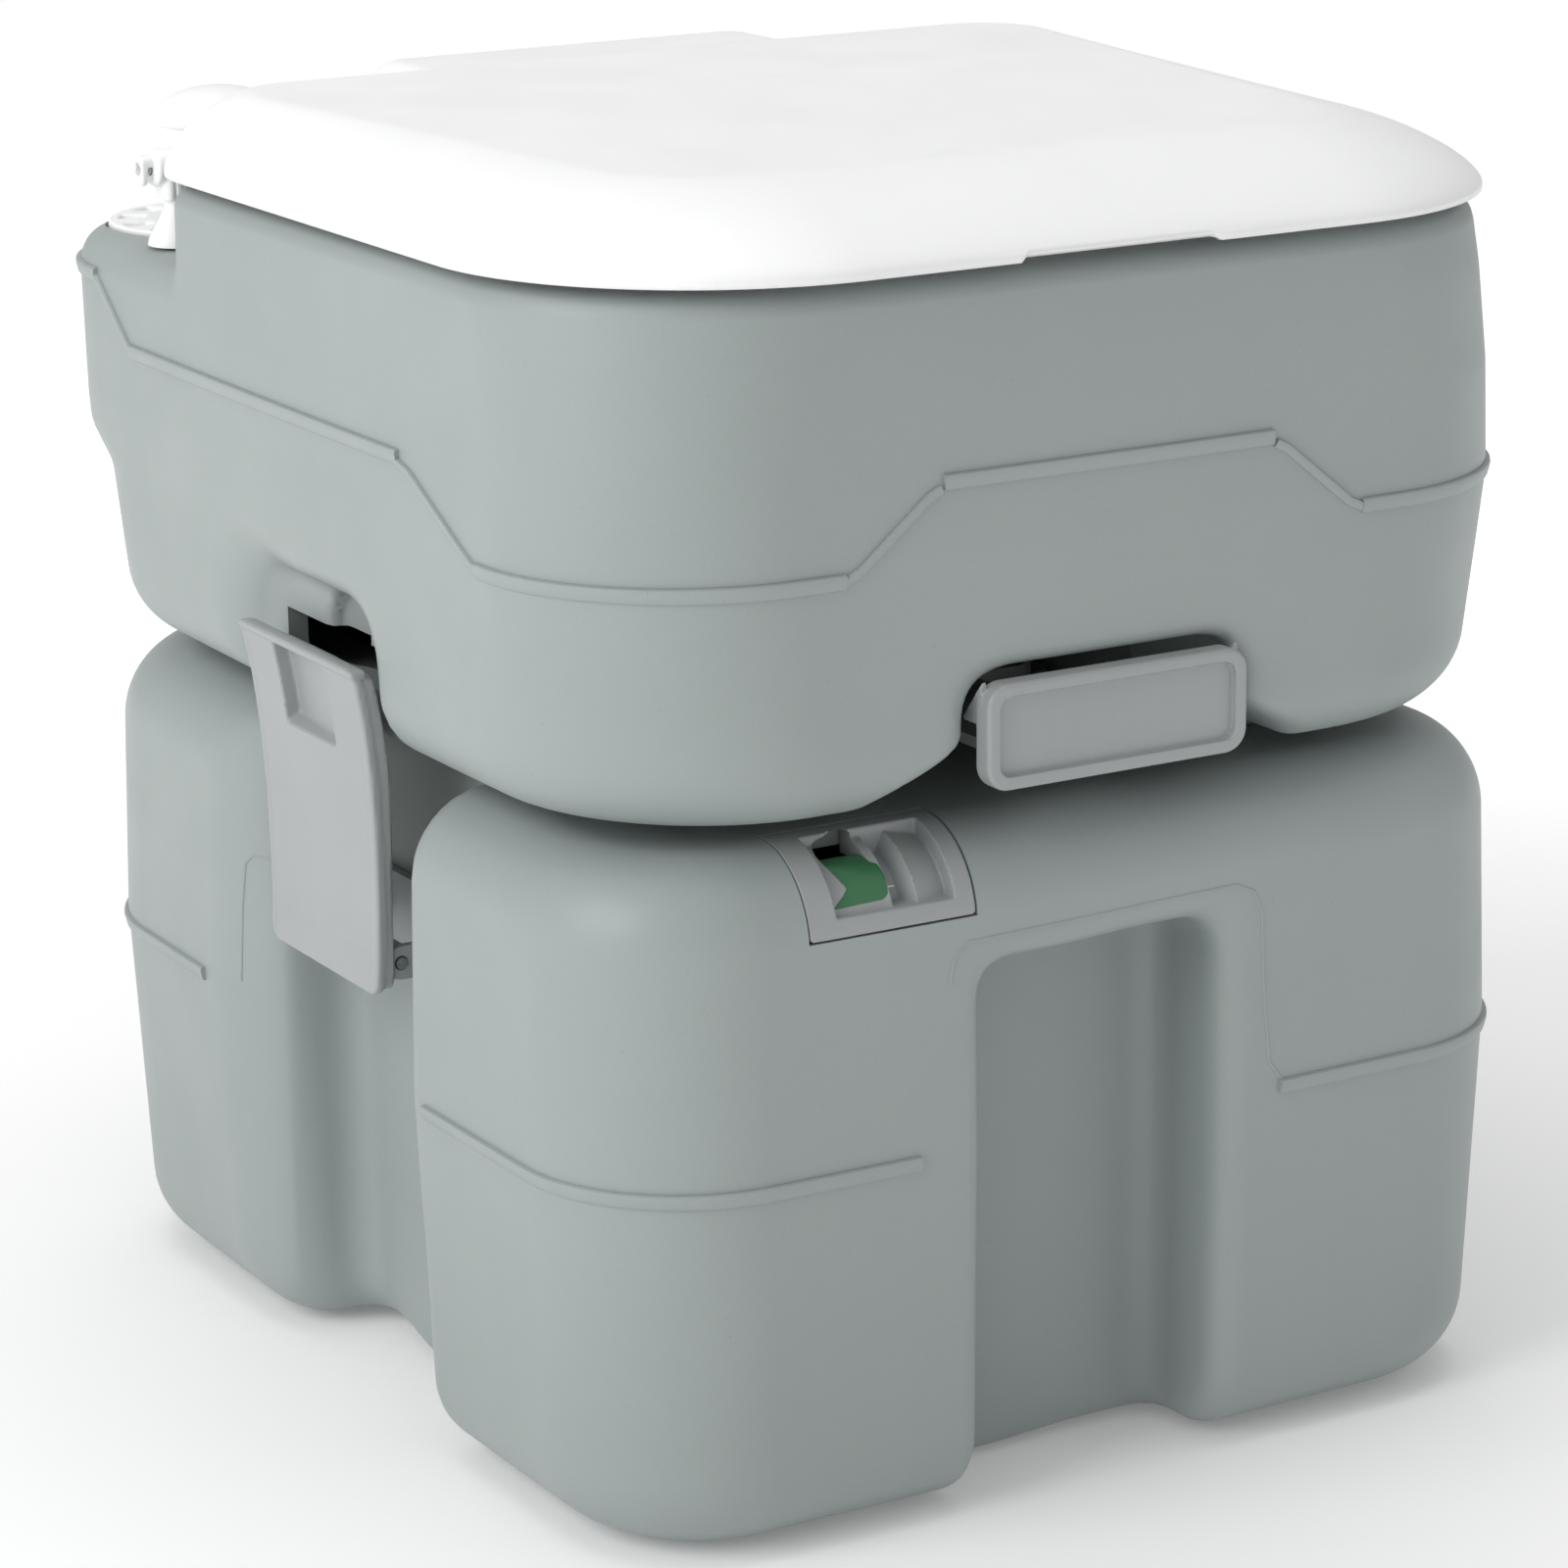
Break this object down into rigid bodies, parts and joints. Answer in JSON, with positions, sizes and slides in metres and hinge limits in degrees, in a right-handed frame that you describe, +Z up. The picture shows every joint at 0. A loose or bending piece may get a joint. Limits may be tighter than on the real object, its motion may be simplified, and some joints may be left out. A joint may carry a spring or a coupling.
{
  "type": "portable camp toilet",
  "caption": "Two-part camp toilet: fresh-water tank with bowl, seat and lid over a waste tank, with side latches, slide valve and hand pump",
  "frame": {"origin": "on the floor under the middle of the bounding box", "axes": "+Z up, -Y the front with the valve handle, +X the right side seen from the front"},
  "size_m": [0.365, 0.424, 0.42],
  "materials": {
    "grey_tank": "satin",
    "grey_trim": "satin",
    "white": "satin",
    "green_flag": "glossy",
    "rubber": "matte",
    "steel": "brushed",
    "float_foam": "matte",
    "clear_tube": "glossy"
  },
  "bodies": {
    "waste_unit": {"waste_tank": "grey_tank", "valve_housing": "grey_trim", "valve_gasket": "rubber", "valve_lip_seal": "rubber", "valve_screw_1": "steel", "valve_screw_2": "steel", "valve_screw_3": "steel", "valve_screw_4": "steel", "level_bezel": "grey_trim", "float_pin": "steel", "spout_ring": "rubber", "relief_housing": "grey_trim", "latch_bracket_left": "grey_trim", "latch_bracket_right": "grey_trim", "latch_pin_left": "steel", "latch_pin_right": "steel", "latch_screw_1_left": "steel", "latch_screw_1_right": "steel", "latch_screw_2_left": "steel", "latch_screw_2_right": "steel"},
    "valve_slide": {"valve_blade": "grey_trim", "valve_handle": "grey_trim", "valve_handle_pin": "steel"},
    "level_float": {"level_drum": "green_flag", "float_arm": "white", "float_ball": "float_foam"},
    "spout": {"spout_elbow": "grey_trim"},
    "spout_seal": {"spout_cap_seal": "rubber"},
    "spout_lid": {"spout_cap": "grey_trim"},
    "relief": {"relief_button": "white"},
    "latch_l": {"latch_left": "grey_trim"},
    "latch_r": {"latch_right": "grey_trim"},
    "fresh_unit": {"fresh_tank": "grey_tank", "bowl": "grey_tank", "flush_nozzle": "white", "flush_tube": "clear_tube", "pump_collar": "white", "pump_barrel": "white", "pump_spring": "steel", "hinge_post_left": "white", "hinge_post_right": "white", "hinge_pin_left": "steel", "hinge_pin_right": "steel"},
    "pump_plunger": {"pump_knob": "white", "pump_rod": "white", "pump_piston": "rubber"},
    "filler_seal": {"fill_seal": "rubber"},
    "filler_cap": {"fill_cap": "white"},
    "seat_ring": {"seat": "white", "seat_bumper_1_left": "rubber", "seat_bumper_1_right": "rubber", "seat_bumper_2_left": "rubber", "seat_bumper_2_right": "rubber"},
    "cover": {"lid": "white", "lid_bumper_1_left": "rubber", "lid_bumper_1_right": "rubber", "lid_bumper_2_left": "rubber", "lid_bumper_2_right": "rubber"}
  },
  "joints": [
    {"name": "valve_pull", "type": "slide", "parent": "waste_unit", "child": "valve_slide", "axis": [0, -1, 0], "range_m": [0, 0.09]},
    {"name": "float_swing", "type": "hinge", "parent": "waste_unit", "child": "level_float", "pos_m": [-0.066, -0.187, 0.202], "axis": [1, 0, 0], "range_deg": [0, 40]},
    {"name": "spout_swivel", "type": "hinge", "parent": "waste_unit", "child": "spout", "pos_m": [0.07, 0.175, 0.19], "axis": [0, 0, -1], "range_deg": [0, 110]},
    {"name": "spout_cap_lift", "type": "slide", "parent": "spout", "child": "spout_seal", "axis": [-1, 0, 0], "range_m": [0, 0.025]},
    {"name": "spout_cap_turn", "type": "hinge", "parent": "spout_seal", "child": "spout_lid", "pos_m": [-0.06, 0.175, 0.19], "axis": [1, 0, 0], "range_deg": [0, 360]},
    {"name": "relief_press", "type": "slide", "parent": "waste_unit", "child": "relief", "axis": [0, 0, -1], "range_m": [0, 0.0018], "stiffness_N_per_m": 300, "springref_m": -0.002},
    {"name": "latch_left_swing", "type": "hinge", "parent": "waste_unit", "child": "latch_l", "pos_m": [-0.166, -0.015, 0.16], "axis": [0, -1, 0], "range_deg": [0, 70]},
    {"name": "latch_right_swing", "type": "hinge", "parent": "waste_unit", "child": "latch_r", "pos_m": [0.166, -0.015, 0.16], "axis": [0, 1, 0], "range_deg": [0, 70]},
    {"name": "fresh_lift", "type": "slide", "parent": "waste_unit", "child": "fresh_unit", "axis": [0, 0, 1], "range_m": [0, 0.15]},
    {"name": "pump_press", "type": "slide", "parent": "fresh_unit", "child": "pump_plunger", "axis": [0, 0, -1], "range_m": [0, 0.024], "stiffness_N_per_m": 250, "springref_m": -0.02, "deforming": ["pump_spring"]},
    {"name": "fill_lift", "type": "slide", "parent": "fresh_unit", "child": "filler_seal", "axis": [0, 0, 1], "range_m": [0, 0.016]},
    {"name": "fill_turn", "type": "hinge", "parent": "filler_seal", "child": "filler_cap", "pos_m": [0.122, 0.161, 0.37], "axis": [0, 0, 1], "range_deg": [0, 360]},
    {"name": "seat_hinge", "type": "hinge", "parent": "fresh_unit", "child": "seat_ring", "pos_m": [0, 0.118, 0.391], "axis": [-1, 0, 0], "range_deg": [0, 90]},
    {"name": "lid_hinge", "type": "hinge", "parent": "seat_ring", "child": "cover", "pos_m": [0, 0.118, 0.391], "axis": [1, 0, 0], "range_deg": [-90, 0]}
  ]
}
